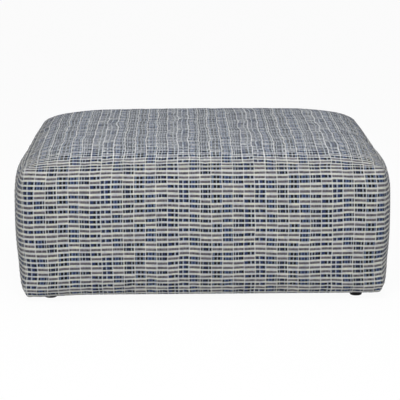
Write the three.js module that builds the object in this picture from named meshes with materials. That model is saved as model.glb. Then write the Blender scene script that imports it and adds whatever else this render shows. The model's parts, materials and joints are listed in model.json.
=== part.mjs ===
// Outdoor ottoman footstool: a low, nearly square upholstered block on four glides.
// Millimetres, +Z up, front towards -Y, origin on the ground below the middle.

import * as THREE from 'three';
import { mergeVertices } from 'three/addons/utils/BufferGeometryUtils.js';

// Clearances
const gap = 0.3;
const boreClearance = 0.3;

// Cover, measured along its seams
const seamWidth = 1082;
const seamDepth = 1040;
const seamHeight = 412;
const hemHeight = 23;
const hemReturn = 40;
const clothThickness = 2;

// Crown of the seat, and how far the walls stand out from the seams
const crownRise = 45;
const bellyDepth = 34;
const seamBulge = 2;
const cornerSwell = 8;

// Fillings
const wrapThickness = 6;
const seatFoamEdge = 60;
const padEdge = 25;

// Frame
const boardThickness = 4;
const railThickness = 25;
const baseRailHeight = 70;
const topRailHeight = 60;
const crossRailThickness = 30;
const crossRailHeight = 40;
const postThickness = 45;
const deckThickness = 12;
const drainHoleRadius = 15;
const blockLeg = 120;
const blockThickness = 24;
const blockNose = 14;
const dustSheetThickness = 0.8;
const dustSheetInset = 24;

// Glides and their screws
const glideInset = 70;
const glideTopRadius = 21;
const glideFootRadius = 18.5;
const glideEdgeRadius = 2.5;
const pocketRadius = 7;
const pocketDepth = 12;
const screwRadius = 2.5;
const screwHeadRadius = 5;
const screwHeadHeight = 3;
const screwHeadFlatShare = 0.6;
const screwTipLength = 6;
const screwCover = 4;

// How the form curves, as powers of the way out from its middle
const crownPower = 9;
const crownEase = 0.7;
const crownCornerEase = 0.7;
const bowPower = 4.7;
const bowEase = 0.8;
const bellyShare = 0.72;
const bellyPowerAbove = 2.9;
const bellyPowerBelow = 8;

// Facets and repeats
const cellsAcross = 14;
const cellsBelowDeck = 5;
const cellsAboveDeck = 3;
const glideFacets = 20;
const screwFacets = 12;
const holeFacets = 12;
const arcSteps = 3;
const drainHoleShares = [-0.75, -0.25, 0.25, 0.75];

// Sizes that follow from the ones above
const wallHeight = seamHeight - hemHeight;
const wrapInset = clothThickness + gap;
const foamInset = wrapInset + wrapThickness + gap;
const deckTop = seamHeight - foamInset - seatFoamEdge - gap;
const deckBottom = deckTop - deckThickness;
const deckShare = (deckTop - hemHeight) / wallHeight;
const frameInset = wrapInset + padEdge + gap;
const frame = { x: seamWidth / 2 - frameInset, y: seamDepth / 2 - frameInset };
const railOuter = shrink(frame, boardThickness + gap);
const railInner = shrink(railOuter, railThickness);
const postOuter = shrink(railInner, gap);
const woodBottom = hemHeight + clothThickness + gap;
const woodTop = deckBottom - gap;
const dustSheetTop = hemHeight - gap;
const dustSheetBottom = dustSheetTop - dustSheetThickness;
const blockBottom = dustSheetTop + gap;
const blockTop = blockBottom + blockThickness;
const glideHeight = dustSheetBottom - gap;
const glidePlace = { x: seamWidth / 2 - glideInset, y: seamDepth / 2 - glideInset };
const screwBore = screwRadius + boreClearance;

const sides = ['front', 'right', 'back', 'left'];
const corners = [
  { name: 'front_left', x: -1, y: -1, turn: 0 },
  { name: 'front_right', x: 1, y: -1, turn: Math.PI / 2 },
  { name: 'back_right', x: 1, y: 1, turn: Math.PI },
  { name: 'back_left', x: -1, y: 1, turn: -Math.PI / 2 },
];

const ottoman = new THREE.Group();
ottoman.name = 'outdoor_ottoman';

const fabric = { color: 0x9c9da0, roughness: 0.95, metalness: 0 };
const foam = { color: 0xd9d2b4, roughness: 1, metalness: 0 };
const fibre = { color: 0xeeeeec, roughness: 1, metalness: 0 };
const timber = { color: 0xb08a5c, roughness: 0.8, metalness: 0 };
const plywood = { color: 0xc9a878, roughness: 0.75, metalness: 0 };
const lining = { color: 0x1c1c1e, roughness: 0.95, metalness: 0 };
const plastic = { color: 0x101011, roughness: 0.3, metalness: 0 };
const steel = { color: 0xb8babd, roughness: 0.35, metalness: 1 };

function shrink(half, by) {
  return { x: half.x - by, y: half.y - by };
}

function add(name, geometry, finish) {
  const mesh = new THREE.Mesh(geometry, new THREE.MeshStandardMaterial(finish));
  mesh.name = name;
  ottoman.add(mesh);
  return mesh;
}

// A share from -1 to 1 for each grid line, closer together towards both ends
function spread(index) {
  return Math.sin((index / cellsAcross - 0.5) * Math.PI);
}

// Heights of the wall's grid lines as shares, from the hem to the deck and on to the seam
function wallLevels() {
  const levels = [];
  for (let step = 0; step <= cellsBelowDeck; step += 1) {
    levels.push(deckShare * (1 - Math.cos((step / cellsBelowDeck) * Math.PI / 2)));
  }
  for (let step = 1; step <= cellsAboveDeck; step += 1) {
    levels.push(deckShare + (1 - deckShare) * Math.sin((step / cellsAboveDeck) * Math.PI / 2));
  }
  return levels;
}

const levels = wallLevels();

function crown(share) {
  return Math.pow(1 - Math.pow(Math.abs(share), crownPower), crownEase);
}

// How high the seat is as a share of its rise, eased down towards its four corners
function seatCrown(shareX, shareY) {
  const ease = 1 + crownCornerEase * shareX * shareX * shareY * shareY;
  return Math.pow(crown(shareX) * crown(shareY), ease);
}

function bow(share) {
  return Math.pow(1 - Math.pow(Math.abs(share), bowPower), bowEase);
}

function belly(heightShare) {
  const above = Math.max(0, (heightShare - bellyShare) / (1 - bellyShare));
  const below = Math.max(0, (bellyShare - heightShare) / bellyShare);
  return 1 - Math.pow(above, bellyPowerAbove) - Math.pow(below, bellyPowerBelow);
}

// How far a wall stands out beyond the line between its corner seams
function wallBulge(share, heightShare) {
  return (seamBulge * heightShare + bellyDepth * belly(heightShare)) * bow(share);
}

function levelHeight(heightShare) {
  return hemHeight + wallHeight * heightShare;
}

// A point of the block at a height, with x and y as shares of the way out to the walls
function blockPoint(shareX, shareY, heightShare, inset, z) {
  const swell = cornerSwell * belly(heightShare) - inset;
  const x = shareX * (seamWidth / 2 + swell + wallBulge(shareY, heightShare));
  const y = shareY * (seamDepth / 2 + swell + wallBulge(shareX, heightShare));
  return new THREE.Vector3(x, y, z);
}

function seatPoint(column, row, inset) {
  const shareX = spread(column);
  const shareY = spread(row);
  const z = seamHeight + crownRise * seatCrown(shareX, shareY) - inset;
  return blockPoint(shareX, shareY, 1, inset, z);
}

// A wall has its length along x and faces -y; half is measured along it, reach towards it
function wallPoint(wall, share, heightShare, inset, z) {
  const swell = cornerSwell * belly(heightShare) - inset;
  const x = share * (wall.half + swell - gap);
  return new THREE.Vector3(x, -(wall.reach + swell + wallBulge(share, heightShare)), z);
}

function addGrid(points, columns, rows, pointAt, turned = false) {
  for (let column = 0; column < columns; column += 1) {
    for (let row = 0; row < rows; row += 1) {
      const a = pointAt(column, row);
      const b = pointAt(column + 1, row);
      const c = pointAt(column + 1, row + 1);
      const d = pointAt(column, row + 1);
      points.push(...(turned ? [a, c, b, a, d, c] : [a, b, c, a, c, d]));
    }
  }
}

function closedSolid(points) {
  const solid = mergeVertices(new THREE.BufferGeometry().setFromPoints(points));
  solid.computeVertexNormals();
  return solid;
}

// A sheet between an outer and an inner grid of points, closed round its rim
function sheet(columns, rows, outer, inner) {
  const points = [];
  const between = (column, row, side) => (side ? outer(column, row) : inner(column, row));
  addGrid(points, columns, rows, outer);
  addGrid(points, columns, rows, inner, true);
  addGrid(points, columns, 1, (step, side) => between(step, 0, side));
  addGrid(points, columns, 1, (step, side) => between(step, rows, side), true);
  addGrid(points, rows, 1, (step, side) => between(0, step, side), true);
  addGrid(points, rows, 1, (step, side) => between(columns, step, side));
  return closedSolid(points);
}

function placeWall(mesh, index) {
  mesh.rotation.z = index * Math.PI / 2;
}

function wallOf(index, half) {
  return index % 2 === 0 ? { half: half.x, reach: half.y } : { half: half.y, reach: half.x };
}

const seamHalf = { x: seamWidth / 2, y: seamDepth / 2 };

function coverTop() {
  const outer = (column, row) => seatPoint(column, row, 0);
  const inner = (column, row) => seatPoint(column, row, clothThickness);
  add('cover_top', sheet(cellsAcross, cellsAcross, outer, inner), fabric);
}

// A wall of the cover, whose lowest row turns under the base as a hem
function coverWall(wall) {
  const face = (inset) => (column, row) => {
    const share = spread(column);
    if (row === 0) {
      const x = share * (wall.half - hemReturn - gap);
      return new THREE.Vector3(x, -(wall.reach - hemReturn), hemHeight + inset);
    }
    const heightShare = levels[row - 1];
    const fold = row === 1 ? inset : 0;
    const mitre = row === levels.length ? inset + gap : 0;
    return wallPoint(wall, share, heightShare, inset, levelHeight(heightShare) + fold - mitre);
  };
  return sheet(cellsAcross, levels.length, face(0), face(clothThickness));
}

function coverWalls() {
  sides.forEach((side, index) => {
    const wall = wallOf(index, seamHalf);
    placeWall(add(`cover_${side}`, coverWall(wall), fabric), index);
  });
}

function fibreWrap() {
  const outer = (column, row) => seatPoint(column, row, wrapInset);
  const inner = (column, row) => seatPoint(column, row, wrapInset + wrapThickness);
  add('fibre_wrap', sheet(cellsAcross, cellsAcross, outer, inner), fibre);
}

// The seat foam: a crowned slab whose edge follows the walls from the deck to the seam
function seatFoam() {
  const points = [];
  const bottomAt = (column, row) => blockPoint(
    spread(column), spread(row), deckShare, wrapInset, deckTop + gap,
  );
  const topAt = (column, row) => seatPoint(column, row, foamInset);
  const edgeAt = (column, row, step) => {
    if (step === 0) return bottomAt(column, row);
    if (step === cellsAboveDeck) return topAt(column, row);
    const heightShare = levels[cellsBelowDeck + step];
    const z = levelHeight(heightShare);
    return blockPoint(spread(column), spread(row), heightShare, wrapInset, z);
  };
  addGrid(points, cellsAcross, cellsAcross, topAt);
  addGrid(points, cellsAcross, cellsAcross, bottomAt, true);
  const last = cellsAcross;
  addGrid(points, last, cellsAboveDeck, (step, level) => edgeAt(step, 0, level));
  addGrid(points, last, cellsAboveDeck, (step, level) => edgeAt(last, step, level));
  addGrid(points, last, cellsAboveDeck, (step, level) => edgeAt(last - step, last, level));
  addGrid(points, last, cellsAboveDeck, (step, level) => edgeAt(0, last - step, level));
  add('seat_foam', closedSolid(points), foam);
}

// A side pad: mitred at its ends, flat against its board and full towards the cover
function sidePad(wall, frameWall) {
  const height = (row) => {
    if (row === 0) return hemHeight + wrapInset;
    return levelHeight(levels[row]) - (row === cellsBelowDeck ? gap : 0);
  };
  const outer = (column, row) => wallPoint(
    wall, spread(column), levels[row], wrapInset, height(row),
  );
  const inner = (column, row) => new THREE.Vector3(
    spread(column) * frameWall.half, -(frameWall.reach + gap), height(row),
  );
  return sheet(cellsAcross, cellsBelowDeck, outer, inner);
}

function sidePads() {
  sides.forEach((side, index) => {
    const pad = sidePad(wallOf(index, seamHalf), wallOf(index, frame));
    placeWall(add(`side_pad_${side}`, pad, foam), index);
  });
}

// A box from its two opposite corners
function boxBetween(low, high) {
  const size = new THREE.Vector3().subVectors(high, low);
  const box = new THREE.BoxGeometry(size.x, size.y, size.z);
  const middle = new THREE.Vector3().addVectors(low, high).multiplyScalar(0.5);
  box.translate(middle.x, middle.y, middle.z);
  return box;
}

// Front and back run full width; left and right stand between them
function ringBoard(index, outer, thickness, bottom, top) {
  const wall = wallOf(index, outer);
  const half = index % 2 === 0 ? wall.half : wall.half - thickness - gap;
  const low = new THREE.Vector3(-half, -wall.reach, bottom);
  const high = new THREE.Vector3(half, -(wall.reach - thickness), top);
  return boxBetween(low, high);
}

// A rail with a housing in its top edge that the cross rail drops into
function housedRail(halfLength, height, bottom) {
  const housing = crossRailThickness / 2 + gap;
  const floor = height - crossRailHeight - gap;
  const outline = new THREE.Shape();
  outline.moveTo(-halfLength, 0);
  outline.lineTo(halfLength, 0);
  outline.lineTo(halfLength, height);
  outline.lineTo(housing, height);
  outline.lineTo(housing, floor);
  outline.lineTo(-housing, floor);
  outline.lineTo(-housing, height);
  outline.lineTo(-halfLength, height);
  outline.closePath();
  const rail = new THREE.ExtrudeGeometry(outline, { depth: railThickness, bevelEnabled: false });
  rail.rotateX(Math.PI / 2);
  rail.translate(0, -(railOuter.y - railThickness), bottom);
  return rail;
}

function railRing(kind, height, bottom) {
  sides.forEach((side, index) => {
    const rail = index % 2 === 0
      ? housedRail(railOuter.x, height, bottom)
      : ringBoard(index, railOuter, railThickness, bottom, bottom + height);
    placeWall(add(`${kind}_rail_${side}`, rail, timber), index);
  });
  const low = new THREE.Vector3(-crossRailThickness / 2, -railOuter.y, bottom + height - crossRailHeight);
  const high = new THREE.Vector3(crossRailThickness / 2, railOuter.y, bottom + height);
  add(`${kind}_cross_rail`, boxBetween(low, high), timber);
}

function sideBoards() {
  sides.forEach((side, index) => {
    const board = ringBoard(index, frame, boardThickness, woodBottom, woodTop);
    placeWall(add(`side_board_${side}`, board, plywood), index);
  });
}

function cornerPosts() {
  corners.forEach((corner) => {
    const near = shrink(postOuter, postThickness);
    const post = boxBetween(
      new THREE.Vector3(near.x, near.y, blockTop + gap),
      new THREE.Vector3(postOuter.x, postOuter.y, woodTop),
    );
    const mesh = add(`corner_post_${corner.name}`, post, timber);
    const acrossX = corner.x < 0 ? -near.x - postOuter.x : 0;
    const acrossY = corner.y < 0 ? -near.y - postOuter.y : 0;
    mesh.position.set(acrossX, acrossY, 0);
  });
}

function circle(x, y, radius) {
  const hole = new THREE.Path();
  hole.absarc(x, y, radius, 0, 2 * Math.PI, true);
  return hole;
}

// A plate block in the inner corner of the base rails; the glide's screw goes up into it
function cornerBlocks() {
  corners.forEach((corner) => {
    const outline = new THREE.Shape();
    outline.moveTo(0, 0);
    outline.lineTo(blockLeg, 0);
    outline.lineTo(blockLeg, blockNose);
    outline.lineTo(blockNose, blockLeg);
    outline.lineTo(0, blockLeg);
    outline.closePath();
    const inX = postOuter.x - glidePlace.x;
    const inY = postOuter.y - glidePlace.y;
    const flipped = Math.abs(Math.sin(corner.turn)) > 0.5;
    outline.holes.push(circle(flipped ? inY : inX, flipped ? inX : inY, screwBore));
    const options = { depth: blockThickness, bevelEnabled: false, curveSegments: holeFacets };
    const mesh = add(`corner_block_${corner.name}`, new THREE.ExtrudeGeometry(outline, options), timber);
    mesh.position.set(corner.x * postOuter.x, corner.y * postOuter.y, blockBottom);
    mesh.rotation.z = corner.turn;
  });
}

function rectangle(half) {
  const outline = new THREE.Shape();
  outline.moveTo(-half.x, -half.y);
  outline.lineTo(half.x, -half.y);
  outline.lineTo(half.x, half.y);
  outline.lineTo(-half.x, half.y);
  outline.closePath();
  return outline;
}

// The seat deck, drilled so that rain drains through it
function seatDeck() {
  const outline = rectangle(frame);
  drainHoleShares.forEach((shareX) => {
    drainHoleShares.forEach((shareY) => {
      const x = shareX * railInner.x;
      const y = shareY * railInner.y;
      outline.holes.push(circle(x, y, drainHoleRadius));
    });
  });
  const options = { depth: deckThickness, bevelEnabled: false, curveSegments: holeFacets };
  add('seat_deck', new THREE.ExtrudeGeometry(outline, options), plywood).position.z = deckBottom;
}

function dustSheet() {
  const outline = rectangle(shrink(seamHalf, dustSheetInset));
  corners.forEach((corner) => {
    outline.holes.push(circle(corner.x * glidePlace.x, corner.y * glidePlace.y, screwBore));
  });
  const options = { depth: dustSheetThickness, bevelEnabled: false, curveSegments: holeFacets };
  add('dust_sheet', new THREE.ExtrudeGeometry(outline, options), lining).position.z = dustSheetBottom;
}

// A turned outline, given from below upwards as radius and height, stood up along z
function turned(profile, facets) {
  const solid = new THREE.LatheGeometry(profile, facets);
  solid.rotateX(Math.PI / 2);
  return solid;
}

// A glide: tapered, with a rounded foot edge, a bore and a pocket for the screw's head
function glideProfile() {
  const profile = new THREE.Path();
  profile.moveTo(pocketRadius, 0);
  profile.lineTo(glideFootRadius - glideEdgeRadius, 0);
  profile.absarc(glideFootRadius - glideEdgeRadius, glideEdgeRadius, glideEdgeRadius, -Math.PI / 2, 0, false);
  profile.lineTo(glideTopRadius, glideHeight);
  profile.lineTo(screwBore, glideHeight);
  profile.lineTo(screwBore, pocketDepth);
  profile.lineTo(pocketRadius, pocketDepth);
  profile.lineTo(pocketRadius, 0);
  return profile.getPoints(arcSteps);
}

// A pan-head wood screw whose head sits in the glide's pocket
function screwProfile() {
  const seat = pocketDepth - gap;
  const tip = blockTop - screwCover;
  return [
    new THREE.Vector2(0, seat - screwHeadHeight),
    new THREE.Vector2(screwHeadRadius * screwHeadFlatShare, seat - screwHeadHeight),
    new THREE.Vector2(screwHeadRadius, seat - screwHeadHeight / 2),
    new THREE.Vector2(screwHeadRadius, seat),
    new THREE.Vector2(screwRadius, seat),
    new THREE.Vector2(screwRadius, tip - screwTipLength),
    new THREE.Vector2(0, tip),
  ];
}

function glides() {
  corners.forEach((corner) => {
    const glide = add(`glide_${corner.name}`, turned(glideProfile(), glideFacets), plastic);
    const screw = add(`glide_screw_${corner.name}`, turned(screwProfile(), screwFacets), steel);
    const place = [corner.x * glidePlace.x, corner.y * glidePlace.y, 0];
    glide.position.set(...place);
    screw.position.set(...place);
  });
}

coverTop();
coverWalls();
fibreWrap();
seatFoam();
sidePads();
sideBoards();
seatDeck();
railRing('top', topRailHeight, woodTop - topRailHeight);
railRing('base', baseRailHeight, woodBottom);
cornerPosts();
cornerBlocks();
dustSheet();
glides();

export default ottoman;
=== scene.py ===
"""Outdoor ottoman footstool: the finish of its cover, fillings, wood and glides.

Metres, +Z up, front towards -Y, in the same frame as the CAD.
"""

import json
import math

import bpy
import numpy as np
from mathutils import Matrix, Vector

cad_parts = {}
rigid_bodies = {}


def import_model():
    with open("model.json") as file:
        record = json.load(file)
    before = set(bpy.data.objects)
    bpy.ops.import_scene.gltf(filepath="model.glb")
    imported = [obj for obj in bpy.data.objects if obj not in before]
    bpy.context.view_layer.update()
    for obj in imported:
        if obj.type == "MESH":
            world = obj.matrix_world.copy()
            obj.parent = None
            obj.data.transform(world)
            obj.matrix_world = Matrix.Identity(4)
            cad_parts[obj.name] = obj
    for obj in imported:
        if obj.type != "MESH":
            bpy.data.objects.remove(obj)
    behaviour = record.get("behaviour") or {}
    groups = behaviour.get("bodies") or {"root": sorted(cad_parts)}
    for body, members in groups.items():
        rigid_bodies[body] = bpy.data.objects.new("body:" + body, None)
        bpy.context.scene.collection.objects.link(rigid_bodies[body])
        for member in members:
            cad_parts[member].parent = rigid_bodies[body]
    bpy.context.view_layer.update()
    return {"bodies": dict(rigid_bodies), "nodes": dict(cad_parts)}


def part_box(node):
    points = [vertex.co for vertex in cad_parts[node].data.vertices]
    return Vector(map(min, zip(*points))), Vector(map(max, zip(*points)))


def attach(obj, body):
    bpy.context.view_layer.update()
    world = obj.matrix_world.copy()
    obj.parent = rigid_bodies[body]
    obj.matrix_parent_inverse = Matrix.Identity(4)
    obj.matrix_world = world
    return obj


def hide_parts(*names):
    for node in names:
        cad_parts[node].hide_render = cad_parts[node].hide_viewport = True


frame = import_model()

BODY = list(frame["bodies"])[0]
MM = 0.001

# Cover, measured along its seams, as the CAD has it
SEAM_HALF = np.array([541, 520]) * MM
SEAM_HEIGHT = 412 * MM
HEM_HEIGHT = 23 * MM
HEM_RETURN = 40 * MM
CLOTH = 2 * MM
GAP = 0.3 * MM

# Crown of the seat, and how far the walls stand out from the seams
CROWN_RISE = 45 * MM
BELLY_DEPTH = 34 * MM
SEAM_BULGE = 2 * MM
CORNER_SWELL = 8 * MM
CROWN_POWER, CROWN_EASE, CROWN_CORNER_EASE = 9, 0.7, 0.7
BOW_POWER, BOW_EASE = 4.7, 0.8
BELLY_SHARE, BELLY_ABOVE, BELLY_BELOW = 0.72, 2.9, 8

# Fillings, inwards from the outer face of the cover
WRAP_INSET = CLOTH + GAP
WRAP = 6 * MM
FOAM_INSET = WRAP_INSET + WRAP + GAP
FOAM_RINGS = [(0, 3 * MM), (0.05, 0), (0.35, 0), (0.65, 0), (0.93, 1 * MM)]
PAD_CLEAR = 1 * MM
EDGE_CLEAR = 3 * MM
EDGE_FADE = 8 * MM
PLY = 1.5 * MM

# Lining under the base and its staples
DUST_HOLE = 3 * MM
DUST_SAG = 2.5 * MM
DUST_CLEAR = 0.5 * MM
DUST_LINES = 73
DUST_SLACK_X, DUST_SLACK_Y = 90 * MM, 70 * MM
STAPLE_INSET = 12 * MM
STAPLE_PITCH = 62 * MM
STAPLE_SIZE = np.array([10, 1.2, 0.6]) * MM
STAPLE_LEAN = 0.12

# Glides
GLIDE_SIDES = 48
GLIDE_FOOT, GLIDE_TOP, GLIDE_EDGE = 18.5 * MM, 21 * MM, 2.5 * MM
GLIDE_POCKET, GLIDE_POCKET_DEPTH, GLIDE_BORE = 7 * MM, 12 * MM, 2.8 * MM
GLIDE_POCKET_LIP, GLIDE_TOP_EDGE = 0.8 * MM, 0.6 * MM
SHARP_ANGLE = math.radians(35)

# Weave: columns of dashes between pale threads, and rows of thick pale cord between the dashes
COLUMN = 32.8 * MM
ROW = 14.55 * MM
COLUMNS_BEFORE = [0.815, 6, 2.854, 6.293]
FIRST_WALL_ROW = 5.6 * MM
FIRST_TOP_ROW = 9.2 * MM
SAMPLES_PER_CELL = 4
DASH_RELIEF = 0.4 * MM
THREAD_RELIEF = 0.2 * MM

# How threads wander, and how the cloth gathers along its seams
WANDER, SEAT_WANDER = 2.0 * MM, 3.6 * MM
WANDER_LENGTH = 85 * MM
ROW_WAVE = 2.8 * MM
ROW_DROOP = 6 * MM
ROW_WAVE_LENGTH = 70 * MM
EDGE_STILL = 24 * MM
SEAM_DEPTH = 1.6 * MM
SEAM_ROLL = 2.6 * MM
PUCKER = 0.9 * MM
PUCKER_LENGTH = 17 * MM
PUCKER_REACH = 16 * MM
PUCKER_START, PUCKER_FADE = 4 * MM, 40 * MM
FLAT_EDGE = 6 * MM
EDGE_STEPS = np.array([0, 0.9, 2.1]) * MM
HEM_ROUND = 5 * MM

# How the filled cover departs from its sewn form
SEAM_ARCH = 4 * MM
ARCH_FROM, ARCH_BAND = 0.8, 0.2
BACK_TIP = 8 * MM
BACK_TIP_SHARE = 0.6
BACK_TIP_REACH = 30 * MM
HEM_SAG = {(-1, -1): 7 * MM, (1, -1): 0, (1, 1): 3 * MM, (-1, 1): 4 * MM}
SAG_REACH = 200 * MM
SAG_SHARE = 0.6
FULL_POWER = 4
FOOT_FULL = 7 * MM
FOOT_HEIGHT = 40 * MM
FOOT_REACH = 28 * MM
SEAM_PULL = 7 * MM
SEAM_PULL_REACH = 50 * MM
SEAM_PULL_PLACE = np.array([541, -58, 412]) * MM
SHOULDER_FULL = 7.5 * MM
SHOULDER_PLACE = np.array([-190, 366]) * MM
SHOULDER_REACH = np.array([200, 26]) * MM
WAIST_DEPTH = 6 * MM
WAIST_HEIGHT = 105 * MM
WAIST_REACH = 60 * MM
HEM_TIP = {(-1, -1): 6 * MM, (1, -1): 5 * MM, (1, 1): 6 * MM, (-1, 1): 6 * MM}
HEM_TIP_REACH = 34 * MM
BUNCH = 2.2 * MM
BUNCH_LENGTH = 9 * MM
BUNCH_REACH = 26 * MM

# Settling of the sewn cover over its filling: it starts drawn in between its seams
SETTLE_STEP = 13 * MM
SETTLE_DRAW = 5 * MM
SETTLE_DRAW_REACH = 110 * MM
SETTLE_FRAMES = 18
SETTLE_CAP = 5 * MM
SETTLE_HOLD, SETTLE_SEAM_HOLD = 0.12, 0.7
SETTLE_EASE_REACH = 45 * MM
AT_SEAM = 0.99
WELD_REACH = 0.2 * MM

# The weave's pattern: how many columns and rows it has before it repeats, and its shares of a cell
REPEAT_COLUMNS = 7
REPEAT_ROWS = 16
FEWEST_BLOCKS, MORE_BLOCKS = 2.9, 1.2
BAND_HALF = 0.325
PALE_BAND_HALF = 0.26
BAND_SOFT = 0.05
THREAD_HALF = 0.036
THREAD_SOFT = 0.02
DARK_SHARE = 0.54

# Seeds of the weave's noise, chosen so that dark runs stay short and the columns have a like tone
ROW_SHIFT_SEED, BEAT_SEED, PHASE_SEED, JITTER_SEED = 9, 34, 55, 5
BLOCKS_SEED, FIRST_BLOCK_SEED, WIDTH_SEED = 10, 37, 56
BLOCK_SEED, GAP_SEED, THIN_SEED, GRAIN_SEED, STREAK_SEED = 25, 19, 14, 21, 31

# Seeds of the surface's unevenness; those in the second line are added to a panel's own
WALL_SEED, SEAT_SEED = 11, 18
SHORT_WANDER_SEED, WAVE_SEED, PUCKER_SEED = 40, 80, 120
BUNCH_SEED, LINING_SEED, STAPLE_SEED = 205, 301, 5

# Grain of the wood along and across it, and how finely soft pieces are meshed
GRAIN_SCALE, FIBRE_SCALE = (1.6, 26), (14, 420)
SOFT_LINES, PAD_LINES, HEM_LINES = 49, 73, 9

# Studio
WORLD_LIGHT = 0.18
FLOOR_WHITE = 0.95
FLOOR_HALF = 12
FLOOR_DROP = 0.2 * MM
LAMP_AIM = Vector((0, 0, 0.25))

CORNERS = ["front_left", "front_right", "back_right", "back_left"]


def crown(share):
    return np.clip(1 - np.abs(share) ** CROWN_POWER, 0, 1) ** CROWN_EASE


def seat_crown(share_x, share_y):
    """How high the seat is as a share of its rise, eased down towards its four corners."""
    ease = 1 + CROWN_CORNER_EASE * share_x ** 2 * share_y ** 2
    return (crown(share_x) * crown(share_y)) ** ease


def bow(share):
    return np.clip(1 - np.abs(share) ** BOW_POWER, 0, 1) ** BOW_EASE


def belly(height):
    above = np.clip((height - BELLY_SHARE) / (1 - BELLY_SHARE), 0, None)
    below = np.clip((BELLY_SHARE - height) / BELLY_SHARE, 0, None)
    return 1 - above ** BELLY_ABOVE - below ** BELLY_BELOW


def wall_bulge(share, height):
    """How far a wall stands out beyond the line between its corner seams."""
    return (SEAM_BULGE * height + BELLY_DEPTH * belly(height)) * bow(share)


def block_points(share_x, share_y, height, inset, z):
    """Points of the block, with x and y as shares of the way out to its walls at a height."""
    swell = CORNER_SWELL * belly(height) - inset
    x = share_x * (SEAM_HALF[0] + swell + wall_bulge(share_y, height))
    y = share_y * (SEAM_HALF[1] + swell + wall_bulge(share_x, height))
    return np.stack([x, y, z + 0 * x], axis=-1)


def grid(first, second):
    return np.meshgrid(first, second, indexing="ij")


def smooth_step(value):
    value = np.clip(value, 0, 1)
    return value * value * (3 - 2 * value)


def nearness(points, place, reach):
    """1 at a place, falling away over a reach in every direction."""
    return np.exp(-(np.linalg.norm(points - place, axis=-1) / reach) ** 2)


def corner_at(side, height):
    return np.append(SEAM_HALF * side, height)


def eased(points):
    """Where the block's points go once it is filled and stands.

    The seams arch, with one pulled place in the right one; the walls fill out at their foot and
    shoulders and draw in between; the lower and back corners round off; and the hem sags.
    """
    x, y, z = np.moveaxis(points, -1, 0)
    shares = np.abs(np.stack([x / SEAM_HALF[0], y / SEAM_HALF[1]]))
    at_edge = smooth_step((shares.max(axis=0) - ARCH_FROM) / ARCH_BAND)
    rise = SEAM_ARCH * (1 - shares.min(axis=0) ** 2) * at_edge * smooth_step(z / SEAM_HEIGHT)
    full = FOOT_FULL * np.exp(-((z - FOOT_HEIGHT) / FOOT_REACH) ** 2)
    full -= WAIST_DEPTH * np.exp(-((z - WAIST_HEIGHT) / WAIST_REACH) ** 2)
    outward = np.clip(shares, 0, 1) ** FULL_POWER
    full = full * outward
    beside = (y - SHOULDER_PLACE[0]) / SHOULDER_REACH[0]
    above = (z - SHOULDER_PLACE[1]) / SHOULDER_REACH[1]
    full[0] += SHOULDER_FULL * np.exp(-beside ** 2 - above ** 2) * outward[0]
    moves = np.stack([full[0] * np.sign(x), full[1] * np.sign(y), rise], axis=-1)
    pulled = nearness(points, SEAM_PULL_PLACE, SEAM_PULL_REACH)
    moves -= SEAM_PULL * pulled[..., None] * [1, 0, 0.5]
    low = smooth_step(1 - (z - HEM_HEIGHT) / (SEAM_HEIGHT * SAG_SHARE))
    for side, sag in HEM_SAG.items():
        inward = np.array([-side[0], -side[1], 0])
        aside = np.hypot(x - side[0] * SEAM_HALF[0], y - side[1] * SEAM_HALF[1])
        moves[..., 2] -= sag * smooth_step(1 - aside / SAG_REACH) * low
        tip = nearness(points, corner_at(side, HEM_HEIGHT), HEM_TIP_REACH)
        moves += (tip * HEM_TIP[side])[..., None] * inward
        if side[1] > 0:
            tip = nearness(points, corner_at(side, SEAM_HEIGHT), BACK_TIP_REACH)
            moves += (tip * BACK_TIP)[..., None] * (inward - [0, 0, 1]) * BACK_TIP_SHARE
    return points + moves


class Drift:
    """Smooth random unevenness over a surface, from -1 to 1, the same on each run."""

    SIZE = 64

    def __init__(self, seed):
        self.values = np.random.default_rng(seed).uniform(-1, 1, (self.SIZE, self.SIZE))

    def at(self, x, y):
        x, y = np.broadcast_arrays(x, y)
        left, low = np.floor(x).astype(int), np.floor(y).astype(int)
        across, up = smooth_step(x - left), smooth_step(y - low)

        def corner(i, j):
            return self.values[(left + i) % self.SIZE, (low + j) % self.SIZE]

        near = corner(0, 0) * (1 - across) + corner(1, 0) * across
        far = corner(0, 1) * (1 - across) + corner(1, 1) * across
        return near * (1 - up) + far * up


class Panel:
    """A cut piece of the cover: points from a share across it and a run along its cloth.

    turns counts the quarter turns about Z from the front; half is measured along the panel.
    """

    SAMPLES = 400

    def __init__(self, name, half, turns):
        self.name, self.half, self.turns = name, half, turns
        self.settled = None
        self.profile = np.linspace(0, 1, self.SAMPLES)
        middle_line = self.form(np.zeros_like(self.profile), self.profile, 0)
        steps = np.linalg.norm(np.diff(middle_line, axis=0), axis=1)
        self.arc = np.concatenate([[0], np.cumsum(steps)])
        self.length = self.arc[-1]

    def along(self, run):
        """The profile share at a run of cloth from the panel's first seam."""
        return np.interp(run, self.arc, self.profile)

    def place(self, share, profile, inset, settled=True):
        """Points of the block at shares of the panel, turned to the panel's own side."""
        points = self.form(share, profile, inset)
        if settled and self.settled is not None:
            points = points + self.settled.at(share, profile)
        return eased(turn(points, self.turns))


class Wall(Panel):
    """A side of the block, from its top seam at profile 0 down to its hem fold at profile 1."""

    def __init__(self, name, half, reach, turns):
        self.reach = reach
        super().__init__(name, half, turns)

    def form(self, share, profile, inset):
        height = 1 - profile
        swell = CORNER_SWELL * belly(height) - inset
        x = share * (self.half + swell)
        y = -(self.reach + swell + wall_bulge(share, height))
        z = HEM_HEIGHT + (SEAM_HEIGHT - HEM_HEIGHT) * height
        return np.stack([x, y, z + 0 * x], axis=-1)


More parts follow.
